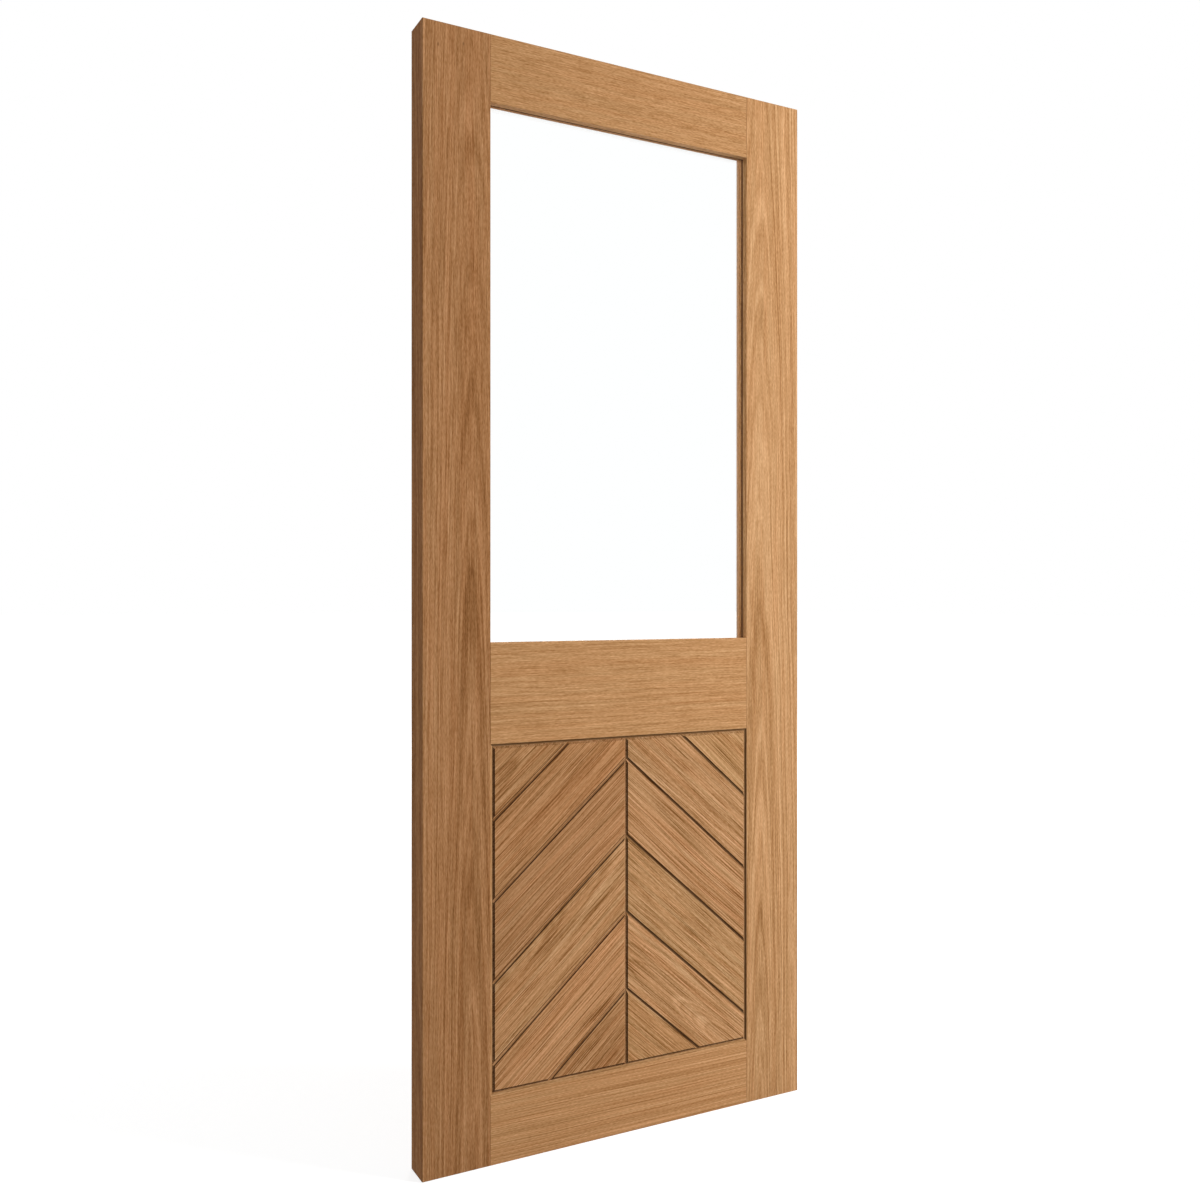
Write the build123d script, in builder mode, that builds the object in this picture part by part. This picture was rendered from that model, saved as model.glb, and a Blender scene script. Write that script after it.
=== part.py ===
from build123d import *
import math
import os

# Glazed interior door leaf in oak. All sizes are in millimetres.
# The origin is at the foot of the hinge edge, in the middle of the leaf's thickness.
# X runs across the leaf from the hinge edge, Y from the front face to the back, Z up.

# Sizes of the leaf
leaf_width = 838.0
leaf_height = 1981.0
leaf_thickness = 44.0
outer_arris = 1.0

# Widths of the frame members as seen from the front, and the height of the light's sill
stile_face = 132.0
top_rail_face = 119.5
middle_rail_face = 178.0
bottom_rail_face = 121.5
light_sill = 915.5
joint_bevel = 0.5

# The V groove that runs along every joint of the boarded panel
groove_width = 9.0
groove_depth = 2.0

# The chevron panel: how high its lowest joint stands at the middle of the leaf, and how far
# below the panel's head its highest joint meets the stile. The joints between are evenly spaced.
boards_per_half = 6
board_thickness = 9.0
chevron_angle = 39.8
lowest_apex = 140.6
corner_drop = 129.8

# The glazing, from the front lip to the bead at the back
lip_depth = 10.0
rebate_width = 18.0
glass_thickness = 6.0
gasket_wall = 1.5
gasket_base = 3.0
gasket_setback = 2.0
bead_setback = 4.0
bead_nose = 7.6
bead_land = 4.5

# Places that follow from the sizes
front = -leaf_thickness / 2
centre_x = leaf_width / 2
clear_width = leaf_width - 2 * stile_face
light_head = leaf_height - top_rail_face
light_height = light_head - light_sill
panel_foot = bottom_rail_face
panel_head = light_sill - middle_rail_face
half_groove = groove_width / 2
field_left = stile_face + half_groove
field_right = leaf_width - field_left
field_foot = panel_foot + half_groove
field_head = panel_head - half_groove
half_field = centre_x - field_left
rise_per_mm = math.tan(math.radians(chevron_angle))
longest_run = leaf_width + leaf_height

mirror_left_right = Plane.YZ.offset(centre_x)
mirror_front_back = Plane.XZ

os.makedirs("parts", exist_ok=True)


def save(piece, name):
    """Labels one finished piece and writes its file."""
    piece.label = name
    export_step(piece, "parts/" + name + ".step")


# Stiles: full-height planks with a stopped rebate behind the light's front lip
with BuildPart() as left_stile:
    with BuildSketch(Plane.XY):
        Rectangle(stile_face, leaf_thickness, align=(Align.MIN, Align.CENTER))
    extrude(amount=leaf_height)
    outer_edges = left_stile.faces().sort_by(Axis.X)[0].edges().filter_by(Axis.Z)
    head_edges = left_stile.faces().sort_by(Axis.Z)[-1].edges()
    head_edges = head_edges.sort_by(Axis.X)[:-1]
    chamfer(outer_edges + head_edges, outer_arris)
    with BuildSketch(Plane.XZ.offset(-(front + lip_depth))):
        with Locations((stile_face, light_sill - rebate_width)):
            Rectangle(rebate_width, light_height + 2 * rebate_width, align=(Align.MAX, Align.MIN))
    extrude(amount=-(leaf_thickness - lip_depth), mode=Mode.SUBTRACT)
save(left_stile.part, "left_stile")

with BuildPart() as right_stile:
    mirror(left_stile.part, about=mirror_left_right)
save(right_stile.part, "right_stile")


def rail_blank(foot, height):
    """A rail between the stiles, with a fine bevel where its ends meet them."""
    with BuildPart() as blank:
        with BuildSketch(Plane.XY.offset(foot)):
            with Locations((centre_x, 0)):
                Rectangle(clear_width, leaf_thickness)
        extrude(amount=height)
        chamfer(blank.edges().filter_by(Axis.Z), joint_bevel)
    return blank.part


def rail_rebate(foot):
    """The space behind a rail's front lip where the pane, gasket and bead sit."""
    with BuildPart() as space:
        with BuildSketch(Plane.XZ.offset(-(front + lip_depth))):
            with Locations((centre_x, foot)):
                Rectangle(clear_width, rebate_width, align=(Align.CENTER, Align.MIN))
        extrude(amount=-(leaf_thickness - lip_depth))
    return space.part


# Rails: planks between the stiles, the upper two rebated for the pane
with BuildPart() as top_rail:
    add(rail_blank(light_head, top_rail_face))
    add(rail_rebate(light_head), mode=Mode.SUBTRACT)
    chamfer(top_rail.faces().sort_by(Axis.Z)[-1].edges().filter_by(Axis.X), outer_arris)
save(top_rail.part, "top_rail")

with BuildPart() as middle_rail:
    add(rail_blank(panel_head, middle_rail_face))
    add(rail_rebate(light_sill - rebate_width), mode=Mode.SUBTRACT)
save(middle_rail.part, "middle_rail")

with BuildPart() as bottom_rail:
    add(rail_blank(0, bottom_rail_face))
save(bottom_rail.part, "bottom_rail")


def mitred_bar(section, opening_foot, opening_head, side):
    """One side of a mitred surround between the stiles. The section's points give how far
    outward from the opening's edge they lie and how deep behind the front face."""
    middle = (opening_foot + opening_head) / 2
    places = {
        "left": ((stile_face, front, middle), (-1, 0, 0), opening_head - opening_foot),
        "right": ((leaf_width - stile_face, front, middle), (1, 0, 0), opening_head - opening_foot),
        "top": ((centre_x, front, opening_head), (0, 0, 1), clear_width),
        "bottom": ((centre_x, front, opening_foot), (0, 0, -1), clear_width),
    }
    origin, outward, run = places[side]
    outward = Vector(outward)
    along = outward.cross(Vector(0, 1, 0))
    with BuildPart() as bar:
        with BuildSketch(Plane(origin=origin, x_dir=outward, z_dir=along)):
            with BuildLine():
                Polyline(section, close=True)
            make_face()
        extrude(amount=run, both=True)
        for end in (-1, 1):
            corner = Vector(origin) + along * (end * run / 2)
            split(bisect_by=Plane(origin=corner, z_dir=along * end - outward), keep=Keep.BOTTOM)
    return bar.part


# Panel core: the slab between the two skins of boards
with BuildPart() as panel_core:
    with BuildSketch(Plane.XY.offset(field_foot)):
        with Locations((centre_x, 0)):
            Rectangle(field_right - field_left, leaf_thickness - 2 * board_thickness)
    extrude(amount=field_head - field_foot)
save(panel_core.part, "panel_core")

# Panel lippings: oak strips round the core that carry the outer slope of the perimeter groove
lipping_section = [
    (0, 0),
    (-half_groove, groove_depth),
    (-half_groove, leaf_thickness - groove_depth),
    (0, leaf_thickness),
]
for side in ("left", "right", "top", "bottom"):
    lipping = mitred_bar(lipping_section, panel_foot, panel_head, side)
    save(lipping, side + "_panel_lipping")


def groove_cutter(x, z, angle):
    """The shape that a V cutter leaves along a line on the front face."""
    turn = math.radians(angle)
    along = (math.cos(turn), 0, math.sin(turn))
    across = (-math.sin(turn), 0, math.cos(turn))
    with BuildPart() as cutter:
        with BuildSketch(Plane(origin=(x, front, z), x_dir=across, z_dir=along)):
            with BuildLine():
                Polyline(
                    (0, -groove_depth), (groove_width, groove_depth),
                    (-groove_width, groove_depth), close=True,
                )
            make_face()
        extrude(amount=longest_run, both=True)
    return cutter.part


# Chevron boards: each half of the panel is one field, cut by slanting lines that rise to the
# centre. Every joint is a V groove, half of it on each neighbour.
line_count = boards_per_half - 1
first_apex = field_foot + lowest_apex
last_apex = field_head - corner_drop + half_field * rise_per_mm
board_rise = (last_apex - first_apex) / (line_count - 1)
apex_heights = [first_apex + i * board_rise for i in range(line_count)]
edge_cutters = [
    groove_cutter(field_left, field_foot, 90),
    groove_cutter(centre_x, field_foot, 90),
    groove_cutter(field_left, field_foot, 0),
    groove_cutter(field_left, field_head, 0),
]
line_cutters = [groove_cutter(centre_x, apex, chevron_angle) for apex in apex_heights]


def side_of_line(apex, below):
    """A large sheet on one side of the slanting line that meets the centre at this height."""
    edge = Align.MAX if below else Align.MIN
    with BuildSketch() as sheet:
        with Locations((centre_x, apex)):
            Rectangle(
                2 * longest_run, longest_run, rotation=chevron_angle, align=(Align.CENTER, edge)
            )
    return sheet.sketch


for number in range(boards_per_half):
    with BuildSketch() as outline:
        with Locations((field_left, field_foot)):
            Rectangle(half_field, field_head - field_foot, align=(Align.MIN, Align.MIN))
        cutters = list(edge_cutters)
        if number > 0:
            add(side_of_line(apex_heights[number - 1], False), mode=Mode.INTERSECT)
            cutters.append(line_cutters[number - 1])
        if number < line_count:
            add(side_of_line(apex_heights[number], True), mode=Mode.INTERSECT)
            cutters.append(line_cutters[number])
    with BuildPart() as board:
        with BuildSketch(Plane.XZ.offset(-(front + board_thickness))):
            add(outline.sketch)
        extrude(amount=board_thickness)
        add(cutters, mode=Mode.SUBTRACT)
    with BuildPart() as board_right:
        mirror(board.part, about=mirror_left_right)
    with BuildPart() as board_back:
        mirror(board.part, about=mirror_front_back)
    with BuildPart() as board_back_right:
        mirror(board_right.part, about=mirror_front_back)
    ending = "_board_" + str(number + 1)
    save(board.part, "front_left" + ending)
    save(board_right.part, "front_right" + ending)
    save(board_back.part, "back_left" + ending)
    save(board_back_right.part, "back_right" + ending)

# Glass pane: one clear sheet held all round in its gasket
pane_reach = rebate_width - gasket_base
pane_front = front + lip_depth + gasket_wall
with BuildPart() as glass_pane:
    with BuildSketch(Plane.XZ.offset(-pane_front)):
        with Locations((centre_x, (light_sill + light_head) / 2)):
            Rectangle(clear_width + 2 * pane_reach, light_height + 2 * pane_reach)
    extrude(amount=-glass_thickness)
save(glass_pane.part, "glass_pane")

# Glazing gaskets: soft channels round the pane's edge. The front leg is flush with the lip and
# the back leg is shorter.
channel_depth = lip_depth + 2 * gasket_wall + glass_thickness
gasket_section = [
    (0, lip_depth),
    (rebate_width, lip_depth),
    (rebate_width, channel_depth),
    (gasket_setback, channel_depth),
    (gasket_setback, channel_depth - gasket_wall),
    (pane_reach, channel_depth - gasket_wall),
    (pane_reach, lip_depth + gasket_wall),
    (0, lip_depth + gasket_wall),
]
for side in ("left", "right", "top", "bottom"):
    gasket = mitred_bar(gasket_section, light_sill, light_head, side)
    save(gasket, side + "_gasket")

# Glazing beads: splayed strips that press the pane to the lip from the back
bead_section = [
    (bead_setback, channel_depth),
    (rebate_width, channel_depth),
    (rebate_width, leaf_thickness),
    (rebate_width - bead_land, leaf_thickness),
    (bead_setback, channel_depth + bead_nose),
]
for side in ("left", "right", "top", "bottom"):
    bead = mitred_bar(bead_section, light_sill, light_head, side)
    save(bead, side + "_glazing_bead")
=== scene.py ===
import math

import bpy
from mathutils import Matrix, Vector


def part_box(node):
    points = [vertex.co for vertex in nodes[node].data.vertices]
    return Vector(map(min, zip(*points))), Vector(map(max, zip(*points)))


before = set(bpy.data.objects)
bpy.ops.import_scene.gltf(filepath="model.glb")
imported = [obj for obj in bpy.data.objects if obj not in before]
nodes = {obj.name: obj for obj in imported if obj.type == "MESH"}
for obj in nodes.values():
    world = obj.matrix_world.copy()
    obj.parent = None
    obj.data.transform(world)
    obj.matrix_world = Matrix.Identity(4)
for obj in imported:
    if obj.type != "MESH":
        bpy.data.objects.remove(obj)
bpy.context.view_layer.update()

# The two stiles are the full-height uprights of the leaf, each an oak plank 132 mm wide and
# 44 mm thick. They are planed, sanded, finished in matt lacquer and jointed to the rails.


def linear(hex_colour):
    """An sRGB hex colour as linear light, with alpha 1."""
    parts = [int(hex_colour[i:i + 2], 16) / 255 for i in (1, 3, 5)]
    light = [c / 12.92 if c <= 0.04045 else ((c + 0.055) / 1.055) ** 2.4 for c in parts]
    return (*light, 1.0)


def add(tree, kind, inputs=None, **settings):
    """Adds a node. settings are its own options, and inputs gives each socket a value or a link."""
    made = tree.nodes.new(kind)
    for option, value in settings.items():
        setattr(made, option, value)
    for socket, value in (inputs or {}).items():
        if isinstance(value, bpy.types.NodeSocket):
            tree.links.new(value, made.inputs[socket])
        else:
            made.inputs[socket].default_value = value
    return made


def new_material(name):
    """An empty material, with its node tree and the shader that its finish goes into."""
    made = bpy.data.materials.new(name)
    made.use_nodes = True
    tree = made.node_tree
    tree.nodes.clear()
    shader = add(tree, "ShaderNodeBsdfPrincipled")
    add(tree, "ShaderNodeOutputMaterial", {"Surface": shader.outputs[0]})
    return made, tree, shader


def dress(name, finish):
    """Gives one piece of the leaf its finish."""
    slots = nodes[name].data.materials
    slots.clear()
    slots.append(finish)


def oak_toned(colour, share):
    """The same oak darker or lighter. Dark oak is redder and richer, and pale oak is greyer."""
    red, green, blue, alpha = linear(colour)
    return red * share, green * share ** 1.28, blue * share ** 1.75, alpha


def grain_pattern(tree, follows, offset, across, along, detail=1.0, roughness=0.5):
    """A random pattern of streaks. across and along are their width and length in mm, and offset
    moves the pattern, so that pieces differ."""
    spread = add(tree, "ShaderNodeMapping", {
        "Vector": follows, "Location": offset,
        "Scale": (1000 / across, 1000 / across, 1000 / along)}).outputs[0]
    return add(tree, "ShaderNodeTexNoise", {
        "Vector": spread, "Scale": 1.0, "Detail": detail, "Roughness": roughness}).outputs


def sawn_from_log(tree, piece, place, grain, heart, tilt, seed):
    """How a plank lies in the log that it was sawn from. Gives each point's place along the
    wandering grain, and its distance from the log's heart with its height up the log."""
    turn = math.radians(grain - 90)
    low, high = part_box(piece)
    middle = Matrix.Rotation(turn, 3, "Y") @ ((low + high) / 2)
    plank = add(tree, "ShaderNodeMapping", {
        "Vector": place, "Rotation": (0, turn, 0), "Location": -middle}).outputs[0]

    # A trunk isn't straight. Its grain wanders a few mm over half a metre, and ripples by less
    # than 1 mm over a fifth of that
    line, log = plank, plank
    offset = (seed * 3.7, seed * 1.9, seed * 5.3)
    for across, along, aside, deep in ((80, 520, 14.0, 10.0), (15, 95, 1.8, 1.2)):
        wander = grain_pattern(tree, plank, offset, across, along)["Color"]
        sway = add(tree, "ShaderNodeVectorMath", {
            0: wander, 1: (0.5, 0.5, 0.5)}, operation="SUBTRACT").outputs[0]
        line = add(tree, "ShaderNodeVectorMath", {
            0: sway, 1: (aside / 1000, 0, 0), 2: line}, operation="MULTIPLY_ADD").outputs[0]
        log = add(tree, "ShaderNodeVectorMath", {
            0: sway, 1: (aside / 1000, deep / 1000, 0), 2: log},
            operation="MULTIPLY_ADD").outputs[0]

    log = add(tree, "ShaderNodeMapping", {
        "Vector": log, "Rotation": (math.radians(tilt), 0, 0),
        "Location": (-heart[0] / 1000, -heart[1] / 1000, 0)}).outputs[0]
    outward = add(tree, "ShaderNodeVectorMath", {
        0: log, 1: (1, 1, 0)}, operation="MULTIPLY").outputs[0]
    radius = add(tree, "ShaderNodeVectorMath", {0: outward}, operation="LENGTH").outputs["Value"]
    height = add(tree, "ShaderNodeSeparateXYZ", {0: log}).outputs["Z"]
    rings = add(tree, "ShaderNodeCombineXYZ", {0: radius, 2: height}).outputs[0]
    return line, rings


def pin_knot(tree, place, across, up):
    """How strongly a pin knot shows. It is a twig that the trunk grew round, and its cut end is
    a dark eye 4 mm wide, drawn out along upright grain."""
    around = add(tree, "ShaderNodeVectorMath", {
        0: place, 1: (across / 1000, 0, up / 1000)}, operation="SUBTRACT").outputs[0]
    around = add(tree, "ShaderNodeVectorMath", {
        0: around, 1: (1, 0, 0.6)}, operation="MULTIPLY").outputs[0]
    reach = add(tree, "ShaderNodeVectorMath", {0: around}, operation="LENGTH").outputs["Value"]
    return add(tree, "ShaderNodeMapRange", {
        "Value": reach, "From Min": 1.0 / 1000, "From Max": 2.6 / 1000,
        "To Min": 0.45, "To Max": 0.0}).outputs[0]


def groove_painted_shade(tree, place, facing):
    """How much painted shade darkens a point of the V grooves, which are 2 mm deep. The slopes that
    face the hinge edge or the foot, away from the key lamp, show almost black in the photo and are
    painted so, the most near the face. A joint that rises to the right is painted dark only along
    its two edges."""
    half_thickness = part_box("left_stile")[1].y * 1000
    depth = add(tree, "ShaderNodeSeparateXYZ", {0: place}).outputs["Y"]
    depth = add(tree, "ShaderNodeMath", {0: depth}, operation="ABSOLUTE").outputs[0]
    sunk = add(tree, "ShaderNodeMath", {
        0: depth, 1: -1000.0, 2: half_thickness}, operation="MULTIPLY_ADD").outputs[0]

    # turned is 0.37 on the slopes of upright and falling grooves that face the hinge edge, 0.18 on
    # those of level grooves that face the foot, and 0.1 on the lower slopes of rising grooves. On
    # the slope opposite it is as far below 0. sunk is in mm below the face
    hinge_and_foot = (-0.9, 0, -0.44)
    turned = add(tree, "ShaderNodeVectorMath", {
        0: facing, 1: hinge_and_foot}, operation="DOT_PRODUCT").outputs["Value"]
    # The painted shade is darkest near the face, on the slopes that face away from the key lamp
    past_edge = {"Value": sunk, "From Min": 0.8, "From Max": 1.3}
    deep_dark = add(tree, "ShaderNodeMapRange", {
        "Value": turned, "From Min": 0.11, "From Max": 0.17,
        "To Min": 0.06, "To Max": 0.55}).outputs[0]
    dark_slope = add(tree, "ShaderNodeMapRange", {
        **past_edge, "To Min": 0.87, "To Max": deep_dark}).outputs[0]
    rising_edge = add(tree, "ShaderNodeMapRange", {
        **past_edge, "To Min": 0.8, "To Max": 0.04}).outputs[0]
    lit_slope = add(tree, "ShaderNodeMapRange", {
        "Value": turned, "From Min": -0.16, "From Max": -0.11,
        "To Min": 0.33, "To Max": rising_edge}).outputs[0]
    painted_shade = add(tree, "ShaderNodeMapRange", {
        "Value": turned, "From Min": -0.02, "From Max": 0.09,
        "To Min": lit_slope, "To Max": dark_slope}).outputs[0]
    return add(tree, "ShaderNodeMapRange", {
        "Value": sunk, "From Min": 0.05, "From Max": 0.2, "To Max": painted_shade}).outputs[0]


def lacquered_oak(piece, colour, grain, heart, seed, figure, lines=1.0, fibre=1.0, grit=1.0,
                  pores=0.0, streaks=0.6, run=70, tilt=1.6, edges=0.305, grooved=False, knots=()):
    """Oak sawn from a log and finished in matt lacquer, which leaves it warm and almost without
    shine. grain is its angle on the face in degrees, and heart is how far the log's centre lies
    across and behind the piece in mm: the yearly rings show as arches near it and as straight
    lines far from it. tilt is the log's slope behind the face in degrees, and run is the length of
    its fibre in mm. seed gives the piece its own pattern. figure, lines, fibre, grit, pores and
    streaks say how strongly each shows. edges is the tone of the narrow edges, where the face has
    0.5: a lower tone is painted shade and a higher one painted light. grooved is for pieces with V
    grooves along them, which get painted shade in the grooves, and knots are the places of pin
    knots across and up the leaf in mm."""
    made, tree, shader = new_material(piece + "_lacquered_oak")
    place = add(tree, "ShaderNodeTexCoord").outputs["Object"]
    line, rings = sawn_from_log(tree, piece, place, grain, heart, tilt, seed)

    # Narrow edges have a tone of their own, painted shade where it is darker than the face and
    # painted light where it is paler
    facing = add(tree, "ShaderNodeNewGeometry").outputs["True Normal"]
    outfacing = add(tree, "ShaderNodeSeparateXYZ", {0: facing}).outputs["Y"]
    outfacing = add(tree, "ShaderNodeMath", {0: outfacing}, operation="ABSOLUTE").outputs[0]
    tone = add(tree, "ShaderNodeMapRange", {
        "Value": outfacing, "From Min": 0.3, "From Max": 0.7,
        "To Min": edges, "To Max": 0.5}).outputs[0]

    # What the eye reads, as mm across the grain and mm along it, with its detail and weight.
    # Figure and lines follow the rings, and fibre and grit follow the grain. Real fibre is 0.1 mm
    # and real pores are 0.3 mm wide, too fine to show at this distance, so both are drawn coarser
    seen = {}
    for what, follows, across, along, detail, weight in (
            ("figure", rings, 5.5, 2400, 1.0, 0.36 * figure),
            ("lines", rings, 2.2, 900, 1.0, 0.5 * lines),
            ("fibre", line, 1.3, run, 1.0, 0.8 * fibre),
            ("grit", line, 1.1, 7, 0.0, 0.5 * grit)):
        offset = (seed * 2.3, seed * 4.1, seed * 7.9 + across)
        seen[what] = grain_pattern(tree, follows, offset, across, along, detail, 0.6)["Fac"]
        moved = add(tree, "ShaderNodeMath", {
            0: seen[what], 1: 0.5}, operation="SUBTRACT").outputs[0]
        tone = add(tree, "ShaderNodeMath", {
            0: moved, 1: weight, 2: tone}, operation="MULTIPLY_ADD").outputs[0]
    open_pores = add(tree, "ShaderNodeMapRange", {
        "Value": seen["fibre"], "From Min": 0.26, "From Max": 0.44,
        "To Min": -pores, "To Max": 0.0}).outputs[0]
    tone = add(tree, "ShaderNodeMath", {0: tone, 1: open_pores}).outputs[0]

    # The piece's own colour has tone 0.5. Open early wood is darker, and dense late wood is paler
    ramp = add(tree, "ShaderNodeValToRGB", {"Fac": tone})
    stops = ramp.color_ramp.elements
    stops[0].position, stops[0].color = 0.05, oak_toned(colour, 0.42)
    stops[1].position, stops[1].color = 0.95, oak_toned(colour, 1.62)
    for position, share in ((0.32, 0.76), (0.5, 1.0), (0.68, 1.26)):
        stops.new(position).color = oak_toned(colour, share)

    # Oak isn't one hue. Streaks 9 mm wide and 300 mm long are a little redder or greyer than the
    # rest. The sockets of a colour Mix node go by number, because their names repeat
    factor, under, over, mixed = 0, 6, 7, 2
    streak = grain_pattern(tree, line, (seed * 1.3, 0, seed * 6.1), 9, 300, 2.0)["Fac"]
    streak = add(tree, "ShaderNodeMapRange", {
        "Value": streak, "From Min": 0.3, "From Max": 0.7}).outputs[0]
    hue = add(tree, "ShaderNodeMix", {
        factor: streak, under: linear("#FFFAF5"), over: linear("#FAFFFF")},
        data_type="RGBA").outputs[mixed]
    oak = add(tree, "ShaderNodeMix", {
        factor: streaks, under: ramp.outputs["Color"], over: hue},
        data_type="RGBA", blend_type="MULTIPLY").outputs[mixed]

    # Dark marks lie over the wood: pin knots, and painted shade in the grooves
    marks = [(pin_knot(tree, place, across, up), "#4A2C16") for across, up in knots]
    if grooved:
        marks.append((groove_painted_shade(tree, place, facing), "#2E1808"))
    for share, dark in marks:
        oak = add(tree, "ShaderNodeMix", {
            factor: share, under: oak, over: linear(dark)}, data_type="RGBA").outputs[mixed]

    # The lacquer lies smooth over the dense wood and sinks a little into the open grain
    gloss = add(tree, "ShaderNodeMapRange", {
        "Value": seen["fibre"], "From Min": 0.3, "From Max": 0.7,
        "To Min": 0.62, "To Max": 0.5}).outputs[0]
    open_grain = add(tree, "ShaderNodeMath", {0: seen["fibre"], 1: seen["grit"]}).outputs[0]
    relief = add(tree, "ShaderNodeBump", {
        "Height": open_grain, "Strength": 0.2, "Distance": 0.4 / 1000}).outputs[0]
    for socket, value in (("Base Color", oak), ("Roughness", gloss), ("Normal", relief)):
        tree.links.new(value, shader.inputs[socket])
    shader.inputs["Specular IOR Level"].default_value = 0.04
    return made


# The left stile's colour is darker than the right's: painted shade that stands in for part of the
# light's fall towards the hinge side. The stiles' narrow edges are painted darker than their faces,
# as painted shade
dress("left_stile", lacquered_oak(
    "left_stile", "#A5754C", 90, (30, 28), seed=3, figure=0.95, lines=1.3, fibre=0.9, grit=0.9,
    edges=0.27, knots=((30, 1941), (79, 1952))))
dress("right_stile", lacquered_oak(
    "right_stile", "#B98B5F", 90, (-32, 28), seed=8, figure=0.95, lines=1.45, fibre=0.9,
    grit=0.8))

# The three rails run across between the stiles: the head, the lock rail under the glass and the
# foot. They are cut from the same oak with its grain laid level, and finished with the stiles.
for piece, colour, heart, seed, lines, grit, run in (
        ("top_rail", "#B4865A", (260, 70), 12, 0.4, 0.9, 40),
        ("middle_rail", "#B98A5D", (-300, 60), 15, 0.4, 0.7, 70),
        ("bottom_rail", "#BA8A5D", (240, 50), 19, 1.4, 0.8, 200)):
    # The rails' narrow edges, among them the reveals above and below the glass, are painted paler
    # than their faces, as painted light
    dress(piece, lacquered_oak(
        piece, colour, 0, heart, seed, figure=0.6, lines=lines, fibre=0.75, grit=grit, run=run,
        edges=0.6))

# The chevron panel is faced on both sides with oak boards 110 mm wide. They are laid at 39.8
# degrees, rising to the middle, and a V is routed along every joint and round the panel. Three
# cuts of the log take turns, so that neighbours differ.
rise = 39.8
halves = {
    "left": (rise, 2, ("#B18157", "#B8865B", "#B4855A", "#AD7D54", "#AB7A50", "#AC7D53")),
    "right": (180 - rise, 31, ("#B38559", "#B98A5F", "#B4885D", "#B5865C", "#B6885E", "#B4875B"))}
cuts = (((-150, 40), 2.0), ((70, 22), 4.0), ((-45, 28), 5.0))
for face, face_seed in (("front", 0), ("back", 70)):
    for half, (grain, half_seed, colours) in halves.items():
        for number, colour in enumerate(colours, 1):
            piece = f"{face}_{half}_board_{number}"
            seed = face_seed + half_seed + number * 5
            heart, tilt = cuts[seed % len(cuts)]
            dress(piece, lacquered_oak(
                piece, colour, grain, heart, seed, figure=0.8, lines=1.05, fibre=1.3, grit=0.7,
                pores=0.32, streaks=1.0, run=110, tilt=tilt, grooved=True))

# Oak lippings close the panel's four edges, with their grain along them. They are mitred at the
# corners and carry the outer slope of the V groove that runs round the panel.
grain_of_side = {"left": 90, "right": 90, "top": 0, "bottom": 0}
for side, grain in grain_of_side.items():
    piece = side + "_panel_lipping"
    dress(piece, lacquered_oak(
        piece, "#B98A5C", grain, (120, 40), seed=40 + grain, figure=0.4, grooved=True))

# The panel's core is a slab of fibre board 26 mm thick, glued between the two skins of boards.
# Fibres 1 mm long are pressed flat in it, and give a fine brown fleck with no grain and no shine.


def flecked(name, fleck, detail, dark, pale, strength, deep, roughness, shine=0.5):
    """A dull material with flecks between two colours. fleck is their width and deep their relief,
    both in mm."""
    made, tree, shader = new_material(name)
    place = add(tree, "ShaderNodeTexCoord").outputs["Object"]
    flecks = add(tree, "ShaderNodeTexNoise", {
        "Vector": place, "Scale": 1000 / fleck, "Detail": detail}).outputs["Fac"]
    ramp = add(tree, "ShaderNodeValToRGB", {"Fac": flecks})
    ramp.color_ramp.elements[0].color = linear(dark)
    ramp.color_ramp.elements[1].color = linear(pale)
    relief = add(tree, "ShaderNodeBump", {
        "Height": flecks, "Strength": strength, "Distance": deep / 1000}).outputs[0]
    tree.links.new(ramp.outputs["Color"], shader.inputs["Base Color"])
    tree.links.new(relief, shader.inputs["Normal"])
    shader.inputs["Roughness"].default_value = roughness
    shader.inputs["Specular IOR Level"].default_value = shine
    return made


dress("panel_core", flecked(
    "panel_core_fibre_board", fleck=1.1, detail=3.0, dark="#8C6C4A", pale="#C2A27C",
    strength=0.3, deep=0.3, roughness=0.85))

# The light is glazed with one sheet of clear toughened glass 6 mm thick. It stands in its gasket
# behind the lip of the stiles and rails. The rollers of the toughening furnace leave faint waves
# 170 mm apart up the sheet, which bend a reflection a little.
made, tree, shader = new_material("clear_toughened_glass")
wave_across, wave_up = 670, 170
place = add(tree, "ShaderNodeTexCoord").outputs["Object"]
roller = add(tree, "ShaderNodeMapping", {
    "Vector": place,
    "Scale": (1000 / wave_across, 1000 / wave_across, 1000 / wave_up)}).outputs[0]
wave = add(tree, "ShaderNodeTexNoise", {
    "Vector": roller, "Scale": 1.0, "Detail": 1.0}).outputs["Fac"]
ripple = add(tree, "ShaderNodeBump", {
    "Height": wave, "Strength": 0.05, "Distance": 0.5 / 1000}).outputs[0]
tree.links.new(ripple, shader.inputs["Normal"])
for socket, value in (
        ("Base Color", linear("#FEFFFF")), ("Transmission Weight", 1.0), ("Roughness", 0.0),
        ("IOR", 1.5)):
    shader.inputs[socket].default_value = value

# It lets light through to the reveal behind it, where a pane would otherwise cast a shadow
clear = add(tree, "ShaderNodeBsdfTransparent", {"Color": linear("#FBFCFB")})
is_shadow = add(tree, "ShaderNodeLightPath").outputs["Is Shadow Ray"]
pane = add(tree, "ShaderNodeMixShader", {0: is_shadow, 1: shader.outputs[0], 2: clear.outputs[0]})
tree.links.new(pane.outputs[0], tree.nodes["Material Output"].inputs["Surface"])
dress("glass_pane", made)

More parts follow.
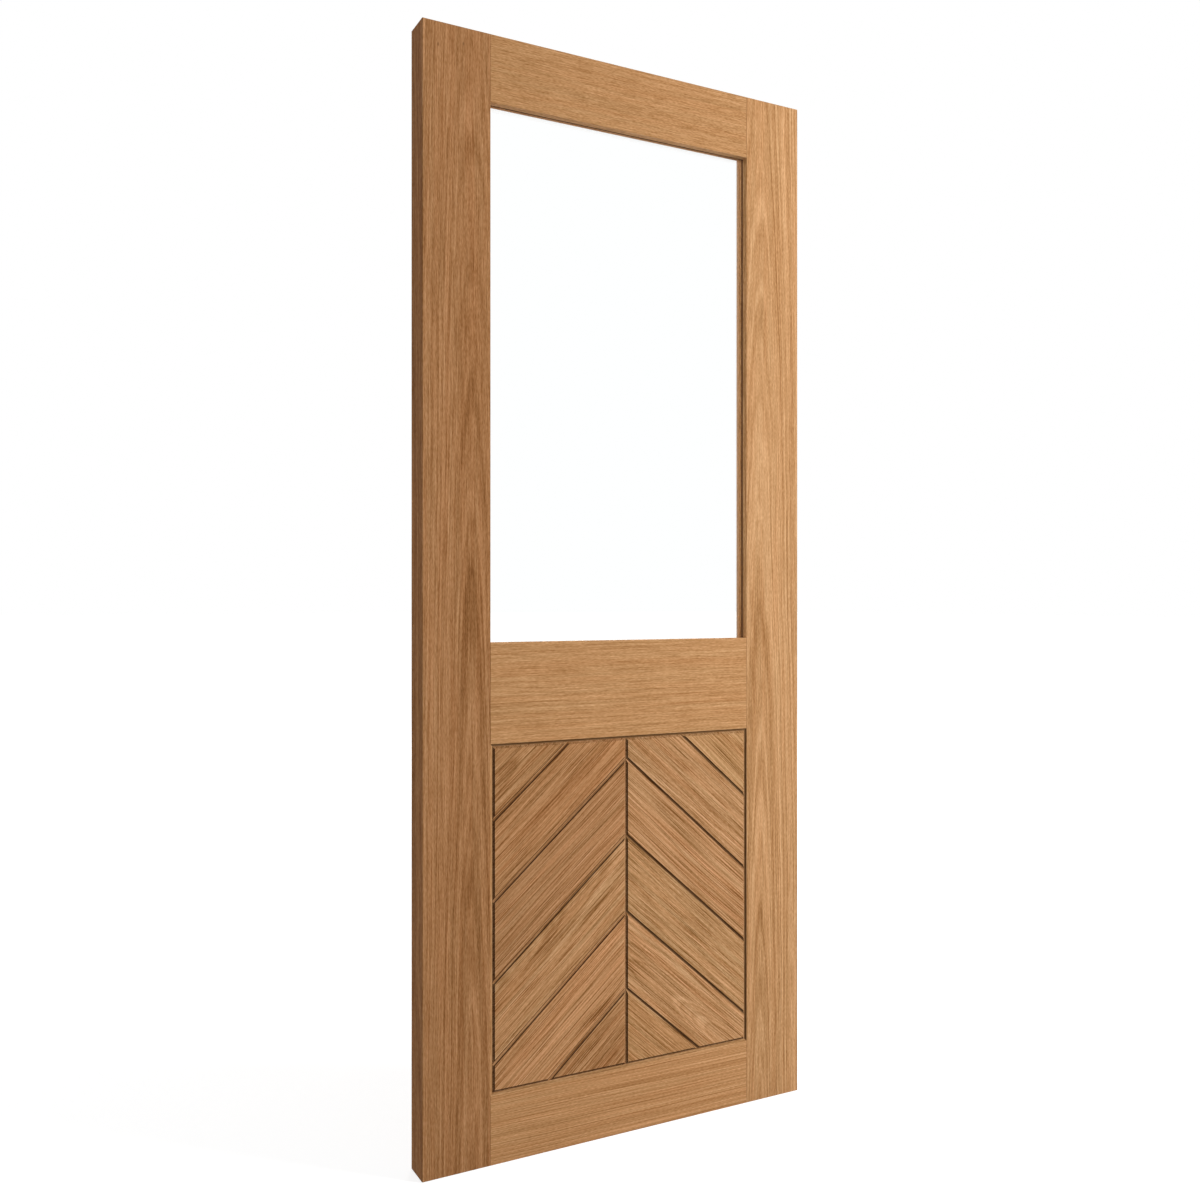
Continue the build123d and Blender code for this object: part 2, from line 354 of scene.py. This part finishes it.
# The gaskets are soft brown channels that hold the pane's four edges. They are extruded in
# rubber, pushed over the glass and mitred at its corners. Rubber looks dull and dark, and its fine
# grit of 0.7 mm shows only close up.
rubber = flecked(
    "brown_extruded_rubber", fleck=0.7, detail=2.0, dark="#50331F", pale="#785034",
    strength=0.15, deep=0.2, roughness=0.62, shine=0.1)
for side in grain_of_side:
    dress(side + "_gasket", rubber)

# The glazing beads are splayed oak strips, mitred at the corners. They are pinned in from the
# back after the pane, and press it against the lip.
for side, grain in grain_of_side.items():
    piece = side + "_glazing_bead"
    dress(piece, lacquered_oak(piece, "#CC9A6D", grain, (150, 50), seed=60 + grain, figure=0.4))

# The camera stands level with the middle of the leaf, 1.5 m in front of it and 0.7 m outside its
# hinge edge, and is turned 21 degrees towards the lock side. That follows from the leaf's corners
# in the photo, and the lens is shifted to give the photo's framing.
leaf_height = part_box("left_stile")[1].z
camera = bpy.data.objects.new("camera", bpy.data.cameras.new("camera"))
camera.data.sensor_width = 36.0
camera.data.lens = 28.407
camera.data.shift_x = 0.2055
camera.data.shift_y = -0.00025
camera.location = (-0.6936, -1.4784, leaf_height / 2)
camera.rotation_euler = (math.radians(90), 0, math.radians(-21.31))
bpy.context.scene.collection.objects.link(camera)
bpy.context.scene.camera = camera

# The floor is a plain pale sheet 1 mm below the leaf. It shows white to the camera and through the
# glass, and keeps the leaf's soft shadow. The light that it throws back on the leaf is a dull grey.


def seen_by_eye(tree):
    """1 on rays from the camera, in a reflection or through the glass, and 0 on rays of light."""
    rays = add(tree, "ShaderNodeLightPath").outputs
    seen = add(tree, "ShaderNodeMath", {
        0: rays["Is Camera Ray"], 1: rays["Is Glossy Ray"]}, operation="MAXIMUM").outputs[0]
    return add(tree, "ShaderNodeMath", {
        0: seen, 1: rays["Is Transmission Ray"]}, operation="MAXIMUM").outputs[0]


reach, foot = 60, -0.001
corners = [
    (across, deep, foot)
    for across, deep in ((-reach, -reach), (reach, -reach), (reach, reach), (-reach, reach))]
mesh = bpy.data.meshes.new("floor")
mesh.from_pydata(corners, [], [(0, 1, 2, 3)])
floor = bpy.data.objects.new("floor", mesh)
bpy.context.scene.collection.objects.link(floor)
made, tree, shader = new_material("pale_painted_floor")
shader.inputs["Base Color"].default_value = linear("#A09E9A")
shader.inputs["Roughness"].default_value = 0.9
shader.inputs["Specular IOR Level"].default_value = 0.1

# Near the leaf a part of the white that the eye sees is lamplight, so it keeps the shadow. Far
# off, where there is none, the white is even
place = add(tree, "ShaderNodeTexCoord").outputs["Object"]
distance = add(tree, "ShaderNodeVectorMath", {0: place}, operation="LENGTH").outputs["Value"]
paler = add(tree, "ShaderNodeMapRange", {
    "Value": distance, "From Min": 1.5, "From Max": 6.0, "To Min": 0.8, "To Max": 1.0},
    interpolation_type="SMOOTHSTEP").outputs[0]
white = add(tree, "ShaderNodeEmission", {"Color": linear("#FFFFFF"), "Strength": paler})
matt = add(tree, "ShaderNodeBsdfDiffuse", {"Color": linear("#A2A2A2")})
shown = add(tree, "ShaderNodeAddShader", {0: white.outputs[0], 1: matt.outputs[0]})
choice = add(tree, "ShaderNodeMixShader", {
    0: seen_by_eye(tree), 1: shader.outputs[0], 2: shown.outputs[0]})
tree.links.new(choice.outputs[0], tree.nodes["Material Output"].inputs["Surface"])
floor.data.materials.append(made)

# The studio is an even pale room with three soft lamps. The key stands in front on the lock side,
# a weaker one lights the hinge edge from behind, and the third lights the back of the leaf. They
# don't show in the glass, and the third doesn't show through it.
world = bpy.data.worlds.new("studio")
bpy.context.scene.world = world
world.use_nodes = True
tree = world.node_tree
tree.nodes.clear()
room = add(tree, "ShaderNodeBackground", {"Color": linear("#FFFFFF"), "Strength": 0.25})
white = add(tree, "ShaderNodeBackground", {"Color": linear("#FFFFFF"), "Strength": 1.0})
choice = add(tree, "ShaderNodeMixShader", {
    0: seen_by_eye(tree), 1: room.outputs[0], 2: white.outputs[0]})
add(tree, "ShaderNodeOutputWorld", {"Surface": choice.outputs[0]})

aim = Vector((0.42, 0, 0.95))
for name, place, size, power in (
        ("key_light", (4.45, -2.42, 2.66), 1.5, 380.0),
        ("hinge_side_light", (-5.2, 2.4, 2.65), 2.4, 115.0),
        ("back_light", (3.2, 4.2, 2.7), 2.0, 115.0)):
    lamp = bpy.data.lights.new(name, "AREA")
    lamp.shape, lamp.size, lamp.energy = "SQUARE", size, power
    made = bpy.data.objects.new(name, lamp)
    made.location = place
    made.rotation_euler = (aim - Vector(place)).to_track_quat("-Z", "Y").to_euler()
    made.visible_camera = made.visible_glossy = False
    made.visible_transmission = name != "back_light"
    bpy.context.scene.collection.objects.link(made)

bpy.context.scene.view_settings.view_transform = "Standard"
